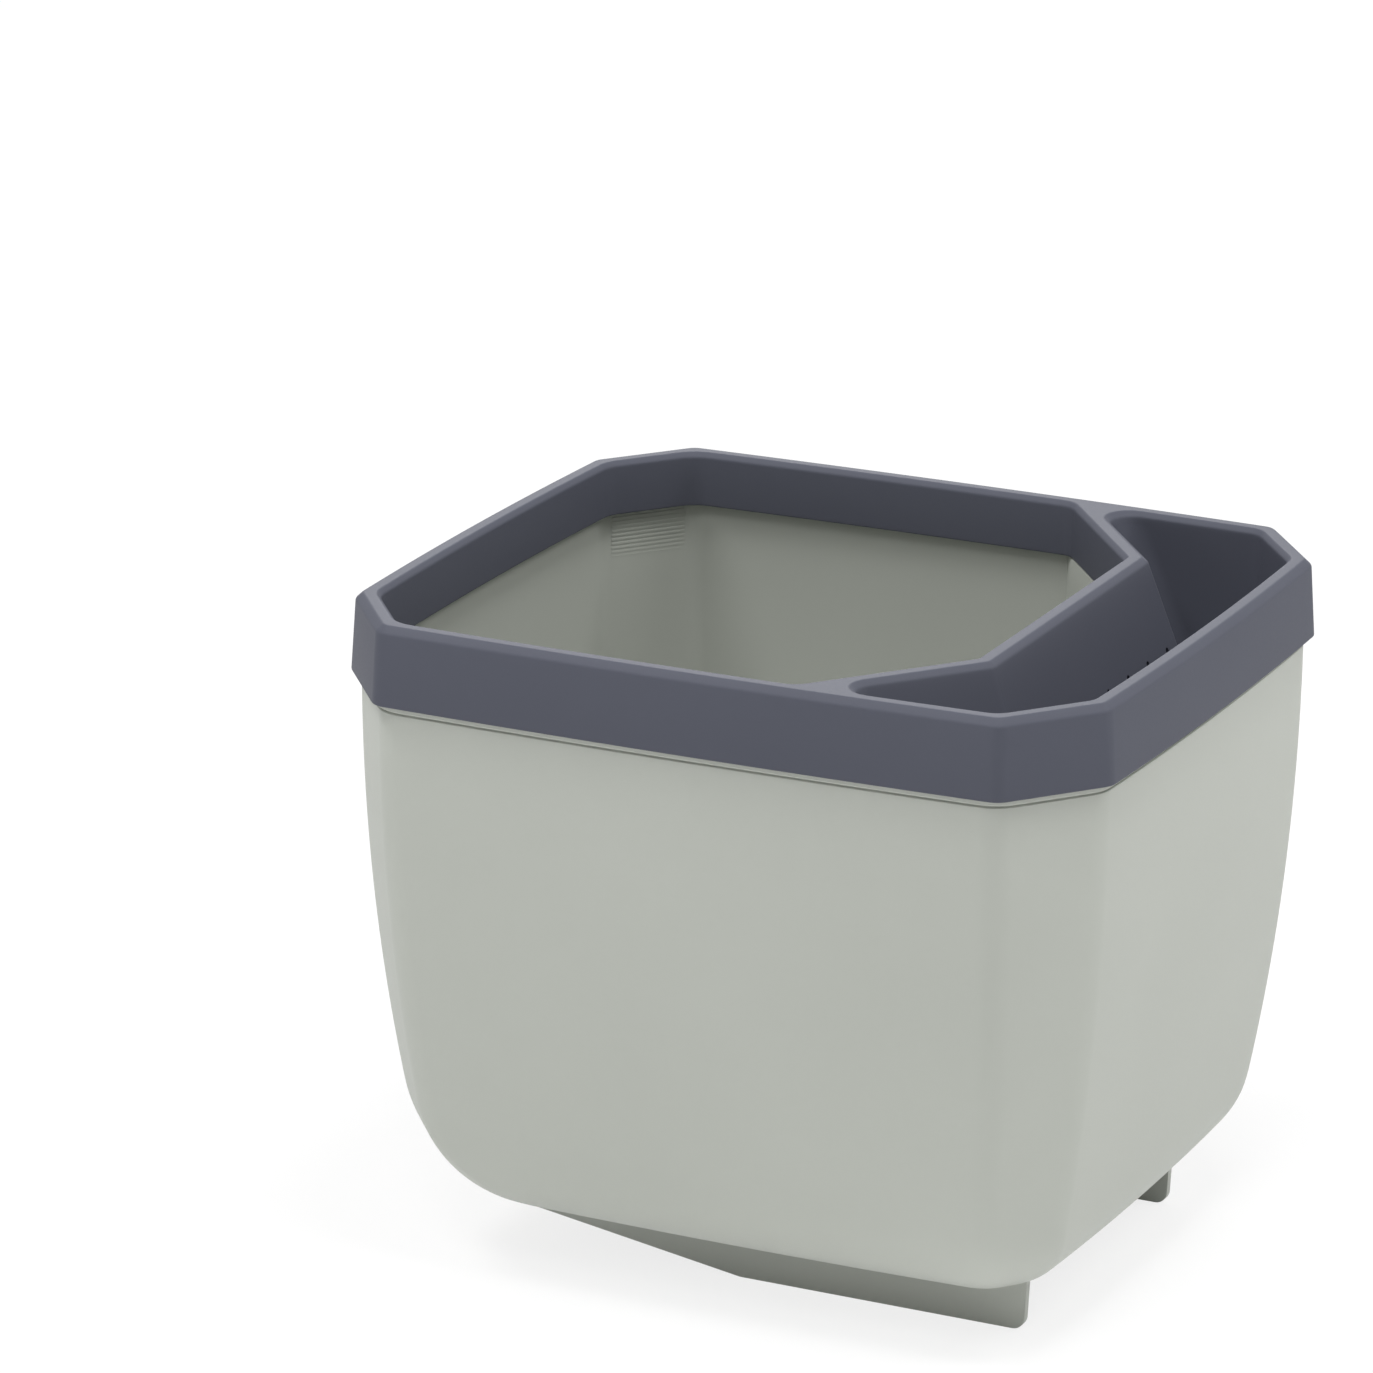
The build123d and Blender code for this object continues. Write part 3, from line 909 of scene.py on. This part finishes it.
def fibreGroup(name, material):  # short bent fibres scattered over a mesh, nearly lying on it
    form = fibreForm
    tree, sockets, given = openGroup(name, {
        "Geometry": "Geometry", "Per area": "Float", "Length": "Float",
        "Thickness share": "Float", "Seed": "Int",
    })
    spread = addNode(tree, "GeometryNodeDistributePointsOnFaces", (-900, 0), None,
                     {"Mesh": given["Geometry"], "Density": given["Per area"], "Seed": given["Seed"]})
    bent = addNode(tree, "GeometryNodeCurveQuadraticBezier", (-900, -300),
                   {"Resolution": form["bends"], "Start": form["start"], "Middle": form["middle"],
                    "End": form["end"]})
    ring = addNode(tree, "GeometryNodeCurvePrimitiveCircle", (-900, -500), {"Resolution": form["sides"]},
                   {"Radius": given["Thickness share"]})
    fibre = addNode(tree, "GeometryNodeCurveToMesh", (-700, -300), {"Fill Caps": True},
                    {"Curve": bent.outputs[0], "Profile Curve": ring.outputs[0]})
    scale = addNode(tree, "FunctionNodeRandomValue", (-700, 250),
                    {2: form["shortest"], 3: form["longest"]}, {"Seed": given["Seed"]})
    sized = addNode(tree, "ShaderNodeMath", (-500, 250), {"operation": "MULTIPLY"},
                    {0: scale.outputs[1], 1: given["Length"]})
    stood = addNode(tree, "GeometryNodeInstanceOnPoints", (-400, 0), None,
                    {"Points": spread.outputs["Points"], "Instance": fibre.outputs[0],
                     "Rotation": spread.outputs["Rotation"], "Scale": sized.outputs[0]})
    turn = addNode(tree, "FunctionNodeRandomValue", (-400, 300), {2: 0.0, 3: 2 * pi}, {"Seed": given["Seed"]})
    spin = addNode(tree, "ShaderNodeCombineXYZ", (-200, 300), None, {"Z": turn.outputs[1]})
    turned = addNode(tree, "GeometryNodeRotateInstances", (-200, 0), None,
                     {"Instances": stood.outputs[0], "Rotation": spin.outputs[0]})
    closeGroup(tree, given, turned.outputs[0], material)
    return tree, sockets


def growFibres(piece, look, material):
    grow(piece, *fibreGroup(piece.name + "Fibres", material), {
        "Per area": look["fibresPerArea"],
        "Length": look["fibreLength"],
        "Thickness share": look["fibreRadius"] / look["fibreLength"],
        "Seed": look["seed"],
    })


def slab(name, outlineAt, look, foot):
    # A flat slab with rounded edges: outlineAt gives its outline at a height, drawn in by an amount
    arc = edgeArc(look["edge"])
    low = [outlineAt(foot + down, drawnIn) for down, drawnIn in reversed(arc)]
    high = [outlineAt(foot + look["thickness"] - down, drawnIn) for down, drawnIn in arc]
    return newPiece(name, *skin(low + high))


def makeMat():
    look = matShape
    bowl = tubShape
    wall = bowl["wall"]
    floor = bowl["base"] + wall
    right, side, left = (bowl[k] - wall for k in ("rightRound", "sideRound", "leftRound"))
    start = bowl["inset"] + wall + look["margin"]
    near = start + bellyInset(floor, bowl["belly"])
    far = start + bellyInset(floor, bowl["leftBelly"])
    leftCorner = bowl["cornerRoundShare"] * (left + side) / 2
    insets = (near + right, far + left, near + side, near + right, far + leftCorner)

    def matOutline(z, drawnIn):
        sides = eightSides(*[inset + drawnIn for inset in insets])[0]
        return plantOutline(z, sides, -look["margin"] - drawnIn, [look["corner"] - drawnIn] * 8)

    mat = slab("capillaryFelt", matOutline, look, look["foot"])
    channelLong = plan["bridgeX"] - look["channelStart"]
    middle = (look["channelStart"] + channelLong, 0, look["foot"] + look["thickness"] / 2)
    size = (2 * channelLong, look["channelWide"], look["cutterTall"] * look["thickness"])
    cutAway(mat, [roundedBar("channel", middle, size, look["edge"])])
    shadeByAngle(mat, radians(look["sharpAngle"]))
    growFibres(mat, look, matFelt)
    mount(mat, "mat", "capillary_mat", matFelt)


def makeWick():
    look = wickShape
    middle = (look["left"] + look["right"]) / 2
    half = (look["right"] - look["left"]) / 2
    corner = look["cornerRound"]

    def wickOutline(z, drawnIn):
        points = roundedRectangle(middle, half - corner, look["width"] / 2 - corner, corner - drawnIn)
        return [Vector((p.x, p.y, z)) for p in points]

    strip = slab("wickFelt", wickOutline, look, look["height"] - look["thickness"] / 2)
    shadeByAngle(strip, radians(look["sharpAngle"]))
    growFibres(strip, look, wickFelt)
    mount(strip, "tub", "wick", wickFelt)


makeMat()
makeWick()
print("felt done")

# Floor, light and camera

stageLook = {
    "floorColour": "#FAFAFA",
    "floorOwnWhite": 0.8,  # share of plain white in the floor that the camera sees, which lights nothing
    "skyLight": 0.3,
    "floorReach": 14.0,  # metres from its middle to each side
    "aim": (0, 0, 90 * mm),  # the point that every lamp faces
}
lamps = {  # azimuth and elevation seen from the object, distance and size in metres, power in watts
    "keyLamp": {"azimuth": 6, "elevation": 55, "distance": 2.4, "size": 0.8, "power": 12.0},
    "frontLamp": {"azimuth": -6, "elevation": 4, "distance": 2.4, "size": 0.8, "power": 5.5},
    "leftLamp": {"azimuth": -62, "elevation": 60, "distance": 1.5, "size": 0.45, "power": 9.0},
    "rightLamp": {"azimuth": 118, "elevation": 46, "distance": 1.8, "size": 0.7, "power": 9.5},
    "lowLamp": {"azimuth": 108, "elevation": 2, "distance": 1.8, "size": 0.7, "power": 4.6},
    "backLamp": {"azimuth": -154, "elevation": 26, "distance": 2.0, "size": 0.9, "power": 9.0},
    "topLamp": {"azimuth": 60, "elevation": 76, "distance": 1.5, "size": 0.45, "power": 9.5},
}


def seenDirectly(tree):  # 1 for what the camera sees itself, in a reflection or through glass
    path = addNode(tree, "ShaderNodeLightPath", (-900, 200))
    either = addNode(tree, "ShaderNodeMath", (-700, 200), {"operation": "MAXIMUM"},
                     {0: path.outputs["Is Camera Ray"], 1: path.outputs["Is Glossy Ray"]})
    return addNode(tree, "ShaderNodeMath", (-500, 200), {"operation": "MAXIMUM"},
                   {0: either.outputs[0], 1: path.outputs["Is Transmission Ray"]}).outputs[0]


def plainFloor(look):
    reach = look["floorReach"]
    corners = [(-reach, -reach, 0), (reach, -reach, 0), (reach, reach, 0), (-reach, reach, 0)]
    floor = newPiece("floor", corners, [(0, 1, 2, 3)])
    material, tree = newMaterial("paleFloor")
    lit = addNode(tree, "ShaderNodeBsdfDiffuse", (-200, 100), {"Color": linear(look["floorColour"])})
    white = addNode(tree, "ShaderNodeEmission", (-200, -100), {"Color": (1, 1, 1, 1), "Strength": 1.0})
    seen = seenDirectly(tree)
    share = addNode(tree, "ShaderNodeMath", (-300, 300),
                    {"operation": "MULTIPLY", 1: look["floorOwnWhite"]}, {0: seen})
    blend = addNode(tree, "ShaderNodeMixShader", (0, 0), None,
                    {0: share.outputs[0], 1: lit.outputs[0], 2: white.outputs[0]})
    addNode(tree, "ShaderNodeOutputMaterial", (300, 0), None, {"Surface": blend.outputs[0]})
    wear(floor, material)


def studioSky(look):
    world = bpy.data.worlds.new("studio")
    bpy.context.scene.world = world
    world.use_nodes = True
    tree = world.node_tree
    tree.nodes.clear()
    strength = addNode(tree, "ShaderNodeMapRange", (-300, 0), {"To Min": look["skyLight"], "To Max": 1.0},
                       {"Value": seenDirectly(tree)})
    sky = addNode(tree, "ShaderNodeBackground", (0, 0), {"Color": (1, 1, 1, 1)},
                  {"Strength": strength.outputs["Result"]})
    addNode(tree, "ShaderNodeOutputWorld", (300, 0), None, {"Surface": sky.outputs["Background"]})


def directionOf(look):  # from the object to a lamp or the camera
    a, e = radians(look["azimuth"]), radians(look["elevation"])
    return Vector((sin(a) * cos(e), -cos(a) * cos(e), sin(e)))


def hangLamp(name, look, aim):
    away = directionOf(look)
    light = bpy.data.lights.new(name, "AREA")
    light.shape = "DISK"
    light.size = look["size"]
    light.energy = look["power"]
    lamp = bpy.data.objects.new(name, light)
    bpy.context.scene.collection.objects.link(lamp)
    lamp.location = Vector(aim) + away * look["distance"]
    lamp.rotation_mode = "QUATERNION"
    lamp.rotation_quaternion = (-away).to_track_quat("-Z", "Y")


plainFloor(stageLook)
studioSky(stageLook)
for name, look in lamps.items():
    hangLamp(name, look, stageLook["aim"])
print("stage done")

photoCamera = {
    "azimuth": 25.61,
    "elevation": 17.91,
    "roll": 0.32,
    "distance": 1827.83 * mm,
    "sideStep": 37.31 * mm,
    "rise": 27.58 * mm,
    "lens": 194.22,  # like the sensor, in the camera's own millimetres
    "sensor": 36,
    "nearest": 0.05,  # metres
    "farthest": 60,
    "aim": (0, 0, 170 * mm),
}


def makeCamera(look):
    a, r = radians(look["azimuth"]), radians(look["roll"])
    back = directionOf(look)
    level = Vector((cos(a), sin(a), 0))
    upright = back.cross(level)
    right = level * cos(r) + upright * sin(r)
    up = upright * cos(r) - level * sin(r)
    camera = bpy.data.objects.new("camera", bpy.data.cameras.new("camera"))
    bpy.context.scene.collection.objects.link(camera)
    spot = Vector(look["aim"]) + back * look["distance"] - right * look["sideStep"] - up * look["rise"]
    turn = Matrix((right, up, back)).transposed().to_4x4()
    camera.matrix_world = Matrix.Translation(spot) @ turn
    camera.data.lens = look["lens"]
    camera.data.sensor_width = look["sensor"]
    camera.data.clip_start = look["nearest"]
    camera.data.clip_end = look["farthest"]
    bpy.context.scene.camera = camera


makeCamera(photoCamera)
bpy.context.scene.view_settings.view_transform = "Standard"
